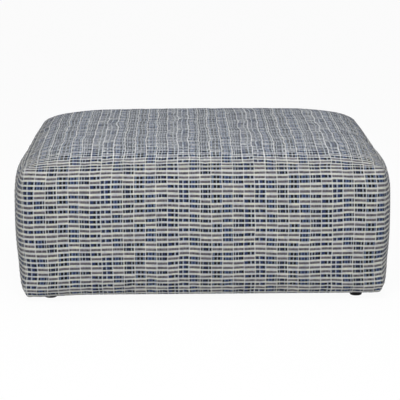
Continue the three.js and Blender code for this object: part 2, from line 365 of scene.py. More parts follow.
class Seat(Panel):
    """The top of the block, from its front seam at profile 0 to its back seam at profile 1."""

    def form(self, share, profile, inset):
        other = 2 * profile - 1
        z = SEAM_HEIGHT + CROWN_RISE * seat_crown(share, other) - inset
        return block_points(share, other, 1, inset, z)


def turn(points, quarter_turns):
    """Points turned about Z by quarter turns."""
    angle = quarter_turns * math.pi / 2
    cos, sin = round(math.cos(angle)), round(math.sin(angle))
    x, y, z = np.moveaxis(points, -1, 0)
    return np.stack([x * cos - y * sin, x * sin + y * cos, z], axis=-1)


class Settled:
    """How far the settled cover has moved, smoothly between the points of its coarse grid."""

    def __init__(self, moves):
        self.moves = moves

    @staticmethod
    def weights(place, count):
        """Four neighbours' numbers and Catmull-Rom weights on a row of evenly spaced points."""
        place = np.clip(place, 0, 1) * (count - 1)
        first = np.clip(np.floor(place).astype(int), 0, count - 2)
        t = place - first
        curve = [
            -0.5 * t + t ** 2 - 0.5 * t ** 3,
            1 - 2.5 * t ** 2 + 1.5 * t ** 3,
            0.5 * t + 2 * t ** 2 - 1.5 * t ** 3,
            -0.5 * t ** 2 + 0.5 * t ** 3,
        ]
        return [(np.clip(first + k - 1, 0, count - 1), w) for k, w in enumerate(curve)]

    def at(self, share, profile):
        share, profile = np.broadcast_arrays(share, profile)
        rows = self.weights(profile, self.moves.shape[1])
        total = np.zeros(share.shape + (3,))
        for column, column_weight in self.weights((share + 1) / 2, self.moves.shape[0]):
            for row, row_weight in rows:
                total += (column_weight * row_weight)[..., None] * self.moves[column, row]
        return total


SEAT = Seat("top", SEAM_HALF[0], 0)
WALLS = [
    Wall(name, SEAM_HALF[turns % 2], SEAM_HALF[1 - turns % 2], turns)
    for turns, name in enumerate(["front", "right", "back", "left"])
]


def grid_faces(columns, rows, first=0, flipped=False):
    """The quads of a grid whose points are numbered row by row within each column."""
    i, j = grid(np.arange(columns - 1), np.arange(rows - 1))
    a = (first + i * rows + j).ravel()
    quads = np.stack([a, a + rows, a + rows + 1, a + 1], axis=-1)
    return quads[:, ::-1] if flipped else quads


def rim_numbers(columns, rows):
    """The numbers of a grid's points along its edge, once round."""
    edge = [i * rows for i in range(columns)]
    edge += [(columns - 1) * rows + j for j in range(1, rows)]
    edge += [i * rows + rows - 1 for i in range(columns - 2, -1, -1)]
    edge += [j for j in range(rows - 2, 0, -1)]
    return np.array(edge)


def add_object(name, data):
    obj = bpy.data.objects.new(name, data)
    bpy.context.scene.collection.objects.link(obj)
    return obj


def make_object(name, points, faces, material, uv=None):
    """A smooth mesh object from arrays; uv is a place on the cloth for each point."""
    mesh = bpy.data.meshes.new(name)
    mesh.vertices.add(len(points))
    mesh.vertices.foreach_set("co", np.asarray(points, dtype=np.float32).ravel())
    mesh.loops.add(faces.size)
    mesh.loops.foreach_set("vertex_index", faces.ravel().astype(np.int32))
    mesh.polygons.add(len(faces))
    size = faces.shape[1]
    mesh.polygons.foreach_set("loop_start", np.arange(0, faces.size, size, dtype=np.int32))
    mesh.polygons.foreach_set("use_smooth", np.ones(len(faces), dtype=bool))
    if uv is not None:
        layer = mesh.uv_layers.new(name="weave")
        layer.data.foreach_set("uv", uv[faces.ravel()].astype(np.float32).ravel())
    mesh.update(calc_edges=True)
    mesh.validate()
    if material is not None:
        mesh.materials.append(material)
    return add_object(name, mesh)


def lofted(name, layers, material, uv=None, holes=()):
    """A closed mesh through like grids of points; those between the ends give only their rims.

    holes are the (column, row) numbers of the quads that are open right through.
    """
    columns, rows = layers[0].shape[:2]
    rim = rim_numbers(columns, rows)
    parts = [layers[0].reshape(-1, 3)]
    parts += [layer.reshape(-1, 3)[rim] for layer in layers[1:-1]]
    parts.append(layers[-1].reshape(-1, 3))
    starts = np.cumsum([0] + [len(part) for part in parts])
    loops = [rim] + [start + np.arange(len(rim)) for start in starts[1:-2]] + [starts[-2] + rim]
    solid = np.ones(len(grid_faces(columns, rows)), dtype=bool)
    solid[[i * (rows - 1) + j for i, j in holes]] = False
    first, last = grid_faces(columns, rows), grid_faces(columns, rows, starts[-2], flipped=True)
    faces = [first[solid], last[solid]]
    for here, there in zip(loops, loops[1:]):
        faces.append(np.stack([np.roll(here, -1), here, there, np.roll(there, -1)], axis=-1))
    for quad in first[~solid]:
        after = np.roll(quad, -1)
        faces.append(np.stack([quad, after, after + starts[-2], quad + starts[-2]], axis=-1))
    points, faces = np.concatenate(parts), np.concatenate(faces)
    if signed_volume(points, faces) < 0:
        faces = faces[:, ::-1]
    uvs = None if uv is None else np.concatenate([uv.reshape(-1, 2)] * 2)
    return make_object(name, points, faces, material, uvs)


def signed_volume(points, faces):
    """The volume inside closed quads, below 0 where they face inwards."""
    a, b, c, d = (points[faces[:, k]] for k in range(4))
    return (np.cross(a, b) * c + np.cross(a, c) * d).sum() / 6


def welded(grids):
    """Grids of points sewn into one mesh where their edges meet; also each grid's numbers."""
    every = np.concatenate([points.reshape(-1, 3) for points in grids])
    _, first, number = np.unique(
        np.round(every / WELD_REACH).astype(int), axis=0, return_index=True, return_inverse=True,
    )
    number = number.ravel()
    faces, numbers, start = [], [], 0
    for points in grids:
        columns, rows = points.shape[:2]
        faces.append(number[grid_faces(columns, rows, start)])
        numbers.append(number[start:start + columns * rows].reshape(columns, rows))
        start += columns * rows
    return every[first], np.concatenate(faces), numbers


def piece(obj, slot, *nodes):
    """Puts an object on the body and hides the CAD pieces that it stands for; its slot is not used.
    """
    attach(obj, BODY)
    if nodes:
        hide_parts(*nodes)
    return obj


def settle_cover():
    """Lets the sewn cover settle over its filling, and keeps how far each panel moved."""
    panels = [SEAT] + WALLS
    grids, shares = [], []
    for panel in panels:
        sides = (2 * panel.half, 2 * SEAM_HALF[1] if panel is SEAT else panel.length)
        columns, rows = (int(round(side / SETTLE_STEP)) + 1 for side in sides)
        share, profile = grid(np.linspace(-1, 1, columns), np.linspace(0, 1, rows))
        shares.append((share, profile))
        grids.append(panel.place(share, profile, 0, settled=False))
    points, faces, numbers = welded(grids)
    start = points.copy()
    hold = np.full(len(points), SETTLE_HOLD)
    ease = np.zeros(len(points))
    for panel, (share, profile), number in zip(panels, shares, numbers):
        to_side = (1 - np.abs(share)) * panel.half
        to_seam = profile * panel.length
        to_last = (1 - profile) * panel.length
        near = np.minimum(to_side, to_seam)
        if panel is SEAT:
            near = np.minimum(near, to_last)
        drawn = SETTLE_DRAW * smooth_step(np.minimum(near, to_last) / SETTLE_DRAW_REACH)
        start[number] = panel.place(share, profile, drawn, settled=False)
        ease[number] = np.maximum(ease[number], np.exp(-near / SETTLE_EASE_REACH))
        if panel is not SEAT:
            hold[number[:, -1]] = 1
    seam_points = ease > AT_SEAM
    hold[seam_points] = np.maximum(hold[seam_points], SETTLE_SEAM_HOLD)
    move = simulate(start, faces, hold, ease) - points
    length = np.linalg.norm(move, axis=1, keepdims=True)
    move *= np.minimum(1, SETTLE_CAP / np.maximum(length, 1e-9))
    for panel, number in zip(panels, numbers):
        panel.settled = Settled(turn(move[number], -panel.turns))


def simulate(points, faces, hold, ease):
    """Runs the cloth and gives back where its points come to rest."""
    centre = points[faces].mean(axis=1)
    a, b, c, _ = (points[faces[:, k]] for k in range(4))
    outward = (np.cross(b - a, c - a) * (centre - [0, 0, HEM_HEIGHT])).sum(axis=1)
    faces = np.where(outward[:, None] < 0, faces[:, ::-1], faces)
    obj = make_object("settling", points, faces, None)
    for name, values in (("hold", hold), ("ease", ease)):
        group = obj.vertex_groups.new(name=name)
        for number, value in enumerate(values):
            group.add([number], float(value), "REPLACE")
    cloth = obj.modifiers.new("cloth", "CLOTH")
    settings = {
        "quality": 5, "mass": 0.3, "air_damping": 3,
        "tension_stiffness": 15, "compression_stiffness": 15, "shear_stiffness": 8,
        "bending_stiffness": 0.6, "use_pressure": True, "uniform_pressure_force": 1.5,
        "vertex_group_mass": "hold", "pin_stiffness": 1,
        "vertex_group_shrink": "ease", "shrink_min": -0.004, "shrink_max": -0.03,
    }
    for name, value in settings.items():
        setattr(cloth.settings, name, value)
    cloth.settings.effector_weights.gravity = 0
    cloth.collision_settings.use_collision = False
    cloth.point_cache.frame_start = 1
    cloth.point_cache.frame_end = SETTLE_FRAMES
    scene = bpy.context.scene
    for number in range(1, SETTLE_FRAMES + 1):
        scene.frame_set(number)
    still = obj.evaluated_get(bpy.context.evaluated_depsgraph_get()).to_mesh()
    moved = np.empty(len(points) * 3, dtype=np.float32)
    still.vertices.foreach_get("co", moved)
    bpy.data.objects.remove(obj)
    scene.frame_set(1)
    return moved.reshape(-1, 3).astype(float)


def cloth_lines(length, step, start):
    """Runs from 0 to length on the weave's own steps, closer together at both ends."""
    first = math.ceil((start + 2 * EDGE_STEPS[-1]) / step) * step - start
    inside = np.arange(first, length - 2 * EDGE_STEPS[-1], step)
    return np.concatenate([EDGE_STEPS, inside, length - EDGE_STEPS[::-1]])


def normals(points):
    """Unit normals of a grid, on the side that faces away from the block's middle."""
    normal = np.cross(np.gradient(points, axis=0), np.gradient(points, axis=1))
    normal /= np.maximum(np.linalg.norm(normal, axis=-1, keepdims=True), 1e-12)
    middle = points - [0, 0, SEAM_HEIGHT / 2]
    facing = np.sign((normal * middle).sum(axis=-1).mean())
    return normal * facing


def cut_lines(panel, column_start, row_start, upward):
    """A panel's lines as places across it and runs along its cloth, with the hem's return."""
    u = cloth_lines(2 * panel.half, COLUMN / SAMPLES_PER_CELL, column_start)
    v = cloth_lines(panel.length, ROW / SAMPLES_PER_CELL, upward * row_start)
    if panel is not SEAT:
        under = np.linspace(0, HEM_RETURN, HEM_LINES)[1:]
        v = np.concatenate([v[:-len(EDGE_STEPS)], [panel.length], panel.length + under])
    return u, v


def wandered(panel, seed, across, run, edge):
    """Shares across a panel and runs along it, as its threads wander and its rows sway."""
    still = smooth_step(np.minimum(edge, np.abs(panel.length - run)) / EDGE_STILL)
    wander = Drift(seed).at(across / (0.6 * WANDER_LENGTH), run / WANDER_LENGTH)
    short = Drift(seed + SHORT_WANDER_SEED)
    wander += short.at(across / COLUMN * 1.7, run / WANDER_LENGTH * 2.3) * 0.5
    wander *= SEAT_WANDER if panel is SEAT else WANDER
    wave = Drift(seed + WAVE_SEED).at(across / ROW_WAVE_LENGTH, run / ROW_WAVE_LENGTH * 0.5)
    wave = wave * ROW_WAVE
    share = (across + wander * still) / panel.half - 1
    at_run = run + wave * still
    if panel is not SEAT:
        droop = np.sin(math.pi * np.clip(run / panel.length, 0, 1) ** 0.8)
        at_run += ROW_DROOP * (across / panel.half - 1) ** 2 * droop
    return share, at_run


def cover_panel(panel, material):
    """One sewn panel: its threads wander, its dashes stand proud and its edges roll into seams."""
    seat = panel is SEAT
    seed = (SEAT_SEED if seat else WALL_SEED) + panel.turns
    upward = 1 if seat else -1
    column_start = COLUMNS_BEFORE[panel.turns] * COLUMN
    row_start = ROW / 2 - upward * (FIRST_TOP_ROW if seat else FIRST_WALL_ROW)
    u, v = cut_lines(panel, column_start, row_start, upward)
    across, run = grid(u, v)
    weave_u, weave_v = across + column_start, row_start + upward * run

    to_side = np.minimum(across, 2 * panel.half - across)
    to_seam = np.minimum(run, panel.length - run) if seat else run
    edge = np.maximum(np.minimum(to_side, to_seam), 0)
    base = place_run(panel, *wandered(panel, seed, across, run, edge))
    normal = normals(base)

    dashes = -np.cos(2 * math.pi * weave_v / ROW) * DASH_RELIEF
    thread = np.cos(2 * math.pi * weave_u / COLUMN) * THREAD_RELIEF
    roll = -SEAM_DEPTH * np.exp(-(edge / SEAM_ROLL) ** 2)
    along_seam = np.where(to_side < to_seam, run, across)
    pucker = Drift(seed + PUCKER_SEED).at(along_seam / PUCKER_LENGTH, edge / PUCKER_FADE)
    pucker = pucker * PUCKER * np.exp(-edge / PUCKER_REACH) * smooth_step(edge / PUCKER_START)
    flat_edge = smooth_step(edge / FLAT_EDGE)
    relief = (dashes + thread) * flat_edge + roll + pucker + bunching(panel, base)
    relief = relief * (1 - smooth_step((run - panel.length) / (HEM_RETURN / 2)))
    outer = base + normal * relief[..., None]
    inner = base + normal * (np.minimum(relief, 0) - CLOTH)[..., None]
    uv = np.stack([weave_u, weave_v], axis=-1)
    obj = lofted(f"cover_{panel.name}_cloth", [outer, inner], material, uv)
    piece(obj, "outdoor_weave", f"cover_{panel.name}")


def bunching(panel, points):
    """Small folds where the cloth gathers at the block's lower corners."""
    x, y, z = np.moveaxis(points, -1, 0)
    folds = Drift(BUNCH_SEED + panel.turns)
    folds = folds.at((x + y + z) / BUNCH_LENGTH, (x + y - z) / (2.5 * BUNCH_LENGTH))
    near = sum(nearness(points, corner_at(side, HEM_HEIGHT), BUNCH_REACH) for side in HEM_SAG)
    return BUNCH * folds * near


def place_run(panel, share, run):
    """Points at a share across a panel and a run along it, with the hem turned under a wall.

    Each is an average of three near the hem's fold, which rounds it.
    """
    if panel is SEAT:
        return panel.place(share, panel.along(run), 0)
    close = np.exp(-((run - panel.length) / (2 * HEM_ROUND)) ** 2)
    total = 0
    for offset, weight in [(-HEM_ROUND, 0.25), (0, 0.5), (HEM_ROUND, 0.25)]:
        here = run + offset * close
        points = panel.place(share, panel.along(here), 0)
        under = np.clip(here - panel.length, 0, None)
        inward = turn(np.stack([-share * under, under, 0 * under], axis=-1), panel.turns)
        inward[..., 2] = (HEM_HEIGHT - points[..., 2]) * smooth_step(under / HEM_RETURN)
        total = total + weight * (points + inward)
    return total


class Nodes:
    """The nodes of a material or the world, with short calls for what is used here."""

    def __init__(self, owner):
        owner.use_nodes = True
        self.tree = owner.node_tree

    def node(self, kind, output=0, inputs=None, **settings):
        node = self.tree.nodes.new("ShaderNode" + kind)
        for name, value in settings.items():
            setattr(node, name, value)
        for socket, value in (inputs or {}).items():
            self.put(value, node.inputs[socket])
        return node.outputs[output]

    def put(self, value, socket):
        if isinstance(value, bpy.types.NodeSocket):
            self.tree.links.new(value, socket)
        else:
            socket.default_value = value

    def math(self, operation, *values):
        return self.node("Math", inputs=dict(enumerate(values)), operation=operation)

    def times(self, value, factor, more=0.0):
        """A value times a factor, plus more."""
        return self.math("MULTIPLY_ADD", value, factor, more)

    def range(self, value, low, high, to_low=0.0, to_high=1.0):
        inputs = {0: value, 1: low, 2: high, 3: to_low, 4: to_high}
        return self.node("MapRange", inputs=inputs, interpolation_type="SMOOTHSTEP")

    def vector(self, x, y, z=0.0):
        return self.node("CombineXYZ", inputs={0: x, 1: y, 2: z})

    def separate(self, vector):
        """The three numbers of a vector."""
        node = self.tree.nodes.new("ShaderNodeSeparateXYZ")
        self.put(vector, node.inputs[0])
        return list(node.outputs)

    def random(self, x, y, seed):
        return self.node("TexWhiteNoise", inputs={"Vector": self.vector(x, y, seed)})

    def noise(self, place, scale, detail, rough):
        inputs = {"Vector": place, "Scale": scale, "Detail": detail, "Roughness": rough}
        return self.node("TexNoise", inputs=inputs)

    def mix(self, share, first, second, blend="MIX"):
        inputs = {0: share, 6: first, 7: second}
        return self.node("Mix", 2, inputs, data_type="RGBA", blend_type=blend)

    def steps(self, value, *stops):
        """A colour for each range of a value, given as where it starts and its colour."""
        node = self.tree.nodes.new("ShaderNodeValToRGB")
        ramp = node.color_ramp
        ramp.interpolation = "CONSTANT"
        while len(ramp.elements) < len(stops):
            ramp.elements.new(1)
        for element, (place, shade) in zip(ramp.elements, stops):
            element.position = place
            element.color = shade
        self.put(value, node.inputs[0])
        return node.outputs[0]

    def seen_directly(self):
        """1 for what the camera, a gloss or a clear surface sees, else 0."""
        path = self.tree.nodes.new("ShaderNodeLightPath").outputs
        seen = self.math("MAXIMUM", path["Is Camera Ray"], path["Is Glossy Ray"])
        return self.math("MAXIMUM", seen, path["Is Transmission Ray"])


class Surface(Nodes):
    """A material whose nodes end in one shader."""

    def __init__(self, name, roughness, **sockets):
        self.material = bpy.data.materials.new(name)
        super().__init__(self.material)
        self.shader = self.tree.nodes["Principled BSDF"]
        self.shader.inputs["Roughness"].default_value = roughness
        for socket, value in sockets.items():
            self.shader.inputs[socket.replace("_", " ")].default_value = value

    def finish(self, colour, height, distance, strength):
        self.put(colour, self.shader.inputs["Base Color"])
        inputs = {"Height": height, "Distance": distance, "Strength": strength}
        self.put(self.node("Bump", inputs=inputs), self.shader.inputs["Normal"])
        return self.material


def rgb(red, green, blue):
    """A colour as the screen shows it, from 0 to 255, as the shader takes it."""
    def linear(value):
        return ((value / 255 + 0.055) / 1.055) ** 2.4 if value > 10 else value / 255 / 12.92

    return (linear(red), linear(green), linear(blue), 1.0)


def weave_material():
    """The jacquard: navy dashes and pale mottled ones between thick pale cords."""
    m = Surface("outdoor_weave", 0.92, Specular_IOR_Level=0.25, Sheen_Weight=0.08)
    u, v, _ = m.separate(m.node("UVMap", uv_map="weave"))
    column, row = m.math("DIVIDE", u, COLUMN), m.math("DIVIDE", v, ROW)
    column_number, row_number = m.math("FLOOR", column), m.math("FLOOR", row)
    across, up = m.math("FRACT", column), m.math("FRACT", row)

    def cloth_noise(u_scale, v_scale, detail=2, rough=0.6):
        place = m.vector(m.times(u, u_scale), m.times(v, v_scale))
        return m.noise(place, 1.0, detail, rough)

    # The seat's cloth shows more of its dashes, and wears to an even, finely mottled tone
    z = m.separate(m.node("TexCoord", output=3))[2]
    lying, flat = (
        m.range(z, SEAM_HEIGHT + low * CROWN_RISE, SEAM_HEIGHT + high * CROWN_RISE)
        for low, high in ((0.15, 0.9), (0.5, 0.95))
    )

    # Which cells are dark: a beat of its own down each column, so that runs stay short
    repeat_column = m.math("FLOORED_MODULO", column_number, REPEAT_COLUMNS)
    repeat_row = m.math("FLOORED_MODULO", row_number, REPEAT_ROWS)
    shift = m.random(column_number, row_number, ROW_SHIFT_SEED)
    up = m.times(shift, 0.08, m.math("SUBTRACT", up, 0.04))
    beat = m.times(m.random(repeat_column, 1, BEAT_SEED), 0.4, 0.3)
    phase = m.times(repeat_row, beat, m.random(repeat_column, 2, BEAT_SEED))
    phase = m.times(m.random(repeat_column, repeat_row, PHASE_SEED), 0.5, phase)
    dark = m.math("LESS_THAN", m.math("FRACT", phase), DARK_SHARE)

    # Dashes of a dark cell: black or navy blocks with a narrower one of any shade after each
    jitter = m.random(column_number, row_number, JITTER_SEED)
    across = m.math("ADD", across, m.times(jitter, 0.03, -0.015))
    blocks = m.times(m.random(repeat_column, 6, BLOCKS_SEED), MORE_BLOCKS, FEWEST_BLOCKS)
    in_blocks = m.times(across, blocks, m.random(repeat_column, 5, FIRST_BLOCK_SEED))
    dash, in_dash = m.math("FLOOR", in_blocks), m.math("FRACT", in_blocks)
    block_colour = m.steps(
        m.random(repeat_column, dash, BLOCK_SEED),
        (0, rgb(34, 48, 84)), (0.25, rgb(13, 17, 36)), (0.5, rgb(4, 4, 9)),
    )
    gap_colour = m.steps(
        m.random(repeat_column, dash, GAP_SEED),
        (0, rgb(150, 157, 167)), (0.35, rgb(100, 115, 138)), (0.75, rgb(46, 57, 84)),
    )
    width = m.times(m.random(repeat_column, dash, WIDTH_SEED), 0.24, 0.52)
    in_gap = m.math("GREATER_THAN", in_dash, width)
    fine = cloth_noise(900, 220, 3, 0.65)
    dark_colour = m.mix(in_gap, block_colour, gap_colour)
    dark_colour = m.mix(m.range(fine, 0.35, 0.75, 0, 0.12), dark_colour, rgb(76, 84, 106))

    # A pale cell: fine upright threads over a mottled ground, darker at its lower edge
    pale_colour = m.range(cloth_noise(520, 60), 0.32, 0.68)
    pale_colour = m.mix(pale_colour, rgb(56, 53, 60), rgb(128, 125, 130))
    lower = m.range(up, 0.5 - PALE_BAND_HALF, 0.5, 0.6, 0)
    pale_colour = m.mix(lower, pale_colour, rgb(56, 54, 66))
    pale_colour = m.mix(m.times(lying, 0.5), pale_colour, rgb(158, 161, 168))
    cell = m.mix(dark, pale_colour, dark_colour)

    # The pale cords between the rows of cells, whose edges wobble
    mottle = m.range(cloth_noise(60, 140), 0.35, 0.65)
    cord_colour = m.mix(mottle, rgb(193, 194, 198), rgb(211, 211, 194))
    cord_colour = m.mix(m.range(fine, 0.4, 0.75, 0, 0.35), cord_colour, rgb(168, 170, 174))
    cord_colour = m.mix(m.times(lying, 0.5), cord_colour, rgb(158, 162, 169))
    wobble = m.noise(m.vector(m.times(u, 160), row_number), 1.0, 1, 0.5)
    wobble = m.times(wobble, 0.08, -0.04)
    from_middle = m.math("ABSOLUTE", m.math("SUBTRACT", m.math("ADD", up, wobble), 0.5))
    from_middle = m.times(lying, -0.06, from_middle)
    half = m.times(dark, BAND_HALF - PALE_BAND_HALF, PALE_BAND_HALF)
    band = m.range(m.math("SUBTRACT", from_middle, half), -BAND_SOFT, BAND_SOFT, 1, 0)

    # The pale threads between the columns, worn through and of uneven strength on the seat
    side = m.math("PINGPONG", across, 0.5)
    between = m.range(side, THREAD_HALF - THREAD_SOFT, THREAD_HALF + THREAD_SOFT, 1, 0)
    worn = m.times(m.range(cloth_noise(30, 45), 0.36, 0.56, 0.3, 0), lying)
    between = m.times(between, m.math("SUBTRACT", m.times(lying, 0.35, 0.65), worn))
    thin = m.random(m.math("FLOOR", m.math("ADD", column, 0.5)), 3, THIN_SEED)
    thin = m.times(thin, m.times(lying, 0.28))
    between = m.times(between, m.math("SUBTRACT", 1.0, thin))
    band = m.times(band, m.math("SUBTRACT", 1.0, m.times(between, 0.85)))
    colour = m.mix(band, cord_colour, cell)

    # Speckles and upright streaks on the seat, which run over dashes and cords alike
    row_pair = m.math("FLOOR", m.math("DIVIDE", row, 2.2))
    grain = m.random(m.times(column_number, 5, dash), row_pair, GRAIN_SEED)
    speckle = m.range(cloth_noise(150, 34), 0.44, 0.56, 0, 0.4)
    speckle = m.times(grain, 0.6, speckle)
    speckled = m.mix(m.range(speckle, 0.08, 0.92), rgb(14, 18, 28), rgb(190, 192, 197))
    colour = m.mix(m.times(flat, 0.15), colour, speckled)
    streak = m.times(m.math("SUBTRACT", 1.0, in_gap), m.times(lying, 0.75))
    streak = m.times(streak, m.random(repeat_column, dash, STREAK_SEED))
    colour = m.mix(streak, colour, (0.4, 0.43, 0.48, 1), "MULTIPLY")
    uneven = m.range(cloth_noise(130, 36, 3, 0.7), 0.38, 0.62)
    uneven = m.times(uneven, m.times(lying, 0.5, 0.15))
    colour = m.mix(uneven, colour, (0.4, 0.43, 0.52, 1), "MULTIPLY")
    colour = m.mix(lying, colour, (1.7, 1.7, 1.63, 1), "MULTIPLY")

    # The threads lie over all of it, and faint patches over the whole cloth
    thread_colour = m.mix(lying, rgb(206, 207, 202), rgb(240, 240, 238))
    colour = m.mix(m.times(between, 0.85), colour, thread_colour)
    patches = m.range(cloth_noise(26, 17, 3), 0.3, 0.7, 0, 0.4)
    colour = m.mix(patches, colour, (0.62, 0.64, 0.7, 1), "MULTIPLY")
    height = m.times(fine, 0.6, m.times(band, -0.5))
    return m.finish(colour, height, 0.4 * MM, 0.8)


def end_weighted_shares():
    """Shares from -1 to 1, closer together towards both ends."""
    return np.sin(np.linspace(-0.5, 0.5, SOFT_LINES) * math.pi)


def seat_layer(inset):
    """A grid under the seat's cover, further in near its edge, where the seams turn in."""
    share, other = grid(end_weighted_shares(), end_weighted_shares())
    to_edge = (1 - np.maximum(np.abs(share), np.abs(other))) * SEAM_HALF[0]
    return SEAT.place(share, (1 + other) / 2, inset + EDGE_CLEAR * np.exp(-to_edge / EDGE_FADE))


def fibre_quilt(material):
    layers = [seat_layer(WRAP_INSET), seat_layer(WRAP_INSET + WRAP)]
    quilt = lofted("fibre_wrap_quilt", layers, material)
    piece(quilt, "fibre_wrap", "fibre_wrap")


def seat_block(material, deck_top):
    """The seat foam, from the deck up to the quilt, just inside the walls' cover.

    Each ring of its side has its share of the way up, and how much further in it lies.
    """
    share, other = grid(end_weighted_shares(), end_weighted_shares())
    edge_top = SEAM_HEIGHT - FOAM_INSET - EDGE_CLEAR
    layers = []
    for up, further in FOAM_RINGS:
        z = deck_top + GAP + (edge_top - deck_top - GAP) * up
        height = (z - HEM_HEIGHT) / (SEAM_HEIGHT - HEM_HEIGHT)
        inset = WRAP_INSET + EDGE_CLEAR + further
        layers.append(eased(block_points(share, other, height, inset, z)))
    layers.append(seat_layer(FOAM_INSET))
    block = lofted("seat_foam_block", layers, material)
    piece(block, "quick_dry_foam", "seat_foam")


def side_pad(wall, material, frame_half, deck_top):
    """A side pad: mitred at its ends, flat against its board and full towards the cover."""
    z = np.linspace(HEM_HEIGHT + WRAP_INSET, deck_top, PAD_LINES)
    share, z = grid(end_weighted_shares(), z)
    profile = (SEAM_HEIGHT - z) / (SEAM_HEIGHT - HEM_HEIGHT)
    to_edge = np.minimum(np.minimum(z - z[0, 0], deck_top - z), (1 - np.abs(share)) * wall.half)
    inset = WRAP_INSET + PAD_CLEAR + EDGE_CLEAR * np.exp(-to_edge / EDGE_FADE)
    outer = wall.place(share, profile, inset)
    outer[..., 2] = z
    half, reach = frame_half[wall.turns % 2], frame_half[1 - wall.turns % 2]
    inner = turn(np.stack([share * half, 0 * z - reach - GAP, z], axis=-1), wall.turns)
    pad = lofted(f"side_pad_{wall.name}_block", [outer, inner], material)
    piece(pad, "quick_dry_foam", f"side_pad_{wall.name}")


def lines_with_holes(half, hole):
    """Grid lines over a width, with a pair of lines at each hole either side of the middle."""
    even = np.linspace(-half, half, DUST_LINES)
    clear = even[np.abs(np.abs(even) - hole) > 3 * DUST_HOLE]
    edges = [side * hole + end * DUST_HOLE for side in (-1, 1) for end in (-1, 1)]
    lines = np.sort(np.concatenate([clear, edges]))
    firsts = [int(np.argmin(np.abs(lines - edge))) for edge in edges[::2]]
    return lines, firsts


def lining_drop(x, y):
    """How far the lining hangs at its edge with the hem, which sags at its fold."""
    drop = 0
    for fold in ((np.copysign(SEAM_HALF[0], x), y), (x, np.copysign(SEAM_HALF[1], y))):
        low = HEM_HEIGHT - eased(np.stack([*fold, HEM_HEIGHT + 0 * x], axis=-1))[..., 2]
        under = np.hypot(fold[0] - x, fold[1] - y)
        drop = np.maximum(drop, (low + DUST_CLEAR) * (1 - smooth_step(under / HEM_RETURN)))
    return drop


def dust_sheet(material, staple_material, glide_place):
    """The lining under the base: it sags between its staples, and the screws pass through."""
    low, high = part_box("dust_sheet")
    x, columns = lines_with_holes(high.x, glide_place[0])
    y, rows = lines_with_holes(high.y, glide_place[1])
    x, y = grid(x, y)
    sag = (1 - (x / high.x) ** 4) * (1 - (y / high.y) ** 4)
    slack = Drift(LINING_SEED).at(x / DUST_SLACK_X, y / DUST_SLACK_Y) * 0.35 + 0.65
    drop = DUST_SAG * sag * slack + lining_drop(x, y)
    top = np.stack([x, y, high.z - drop], axis=-1)
    bottom = top - [0, 0, high.z - low.z]
    holes = [(i, j) for i in columns for j in rows]
    sheet = lofted("dust_sheet_lining", [top, bottom], material, holes=holes)
    staples = staple_row(low.z, high, staple_material)
    piece(sheet, "dust_sheet", "dust_sheet")


def staple_row(z, high, material):
    """The crowns of the staples that hold the lining, pressed flat against it all round."""
    points, faces = [], []
    box = np.array([(i, j, k) for i in (-0.5, 0.5) for j in (-0.5, 0.5) for k in (-1, 0)])
    box = box * STAPLE_SIZE
    quads = np.array([
        (0, 1, 3, 2), (4, 6, 7, 5), (0, 4, 5, 1), (2, 3, 7, 6), (0, 2, 6, 4), (1, 5, 7, 3),
    ])
    lean = np.random.default_rng(STAPLE_SEED)
    for turns in range(4):
        along, reach = (high.x, high.y) if turns % 2 == 0 else (high.y, high.x)
        count = int(2 * (along - STAPLE_INSET) / STAPLE_PITCH)
        for x in (np.arange(count) - (count - 1) / 2) * STAPLE_PITCH:
            angle = lean.uniform(-STAPLE_LEAN, STAPLE_LEAN)
            cos, sin = math.cos(angle), math.sin(angle)
            placed = np.stack([
                x + box[:, 0] * cos - box[:, 1] * sin,
                STAPLE_INSET - reach + box[:, 0] * sin + box[:, 1] * cos,
                z + box[:, 2],
            ], axis=-1)
            placed = turn(placed, turns)
            middle = placed.mean(axis=0)
            placed[:, 2] -= lining_drop(middle[0], middle[1])
            faces.append(quads + 8 * len(points))
            points.append(placed)
    points, faces = np.concatenate(points), np.concatenate(faces)
    return piece(make_object("dust_sheet_staples", points, faces, material), "screw_steel")


def turned_ring(name, profile, place, material):
    """A closed ring turned about an upright line, from its outline as radius and height."""
    angles = np.linspace(0, 2 * math.pi, GLIDE_SIDES, endpoint=False)
    radius, z = np.array(profile).T
    points = np.stack([
        place[0] + np.outer(np.cos(angles), radius),
        place[1] + np.outer(np.sin(angles), radius),
        np.broadcast_to(z, (len(angles), len(z))),
    ], axis=-1)
    here = np.arange(points.size // 3).reshape(points.shape[:2])
    next_side, next_row = np.roll(here, -1, axis=0), np.roll(here, -1, axis=1)
    corner = np.roll(next_side, -1, axis=1)
    faces = np.stack([here, next_side, corner, next_row], axis=-1).reshape(-1, 4)
    points = points.reshape(-1, 3)
    if signed_volume(points, faces) < 0:
        faces = faces[:, ::-1]
    ring = make_object(name, points, faces, material)
    ring.data.set_sharp_from_angle(angle=SHARP_ANGLE)
    return ring


def glide(corner, material):
    """A moulded foot: tapered, with a rounded edge and a pocket for the screw's head."""
    low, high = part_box(f"glide_{corner}")
    place = ((low.x + high.x) / 2, (low.y + high.y) / 2)
    edge = [
        (GLIDE_FOOT - GLIDE_EDGE + GLIDE_EDGE * math.sin(a), GLIDE_EDGE - GLIDE_EDGE * math.cos(a))
        for a in np.linspace(0, math.pi / 2, 7)
    ]
    profile = [(GLIDE_POCKET + GLIDE_POCKET_LIP, 0)] + edge + [
        (GLIDE_TOP, high.z - GLIDE_TOP_EDGE), (GLIDE_TOP - GLIDE_TOP_EDGE, high.z),
        (GLIDE_BORE, high.z), (GLIDE_BORE, GLIDE_POCKET_DEPTH),
        (GLIDE_POCKET, GLIDE_POCKET_DEPTH), (GLIDE_POCKET, GLIDE_POCKET_LIP),
    ]
    foot = turned_ring(f"glide_{corner}_foot", profile, place, material)
    piece(foot, "glide_plastic", f"glide_{corner}")
    return place


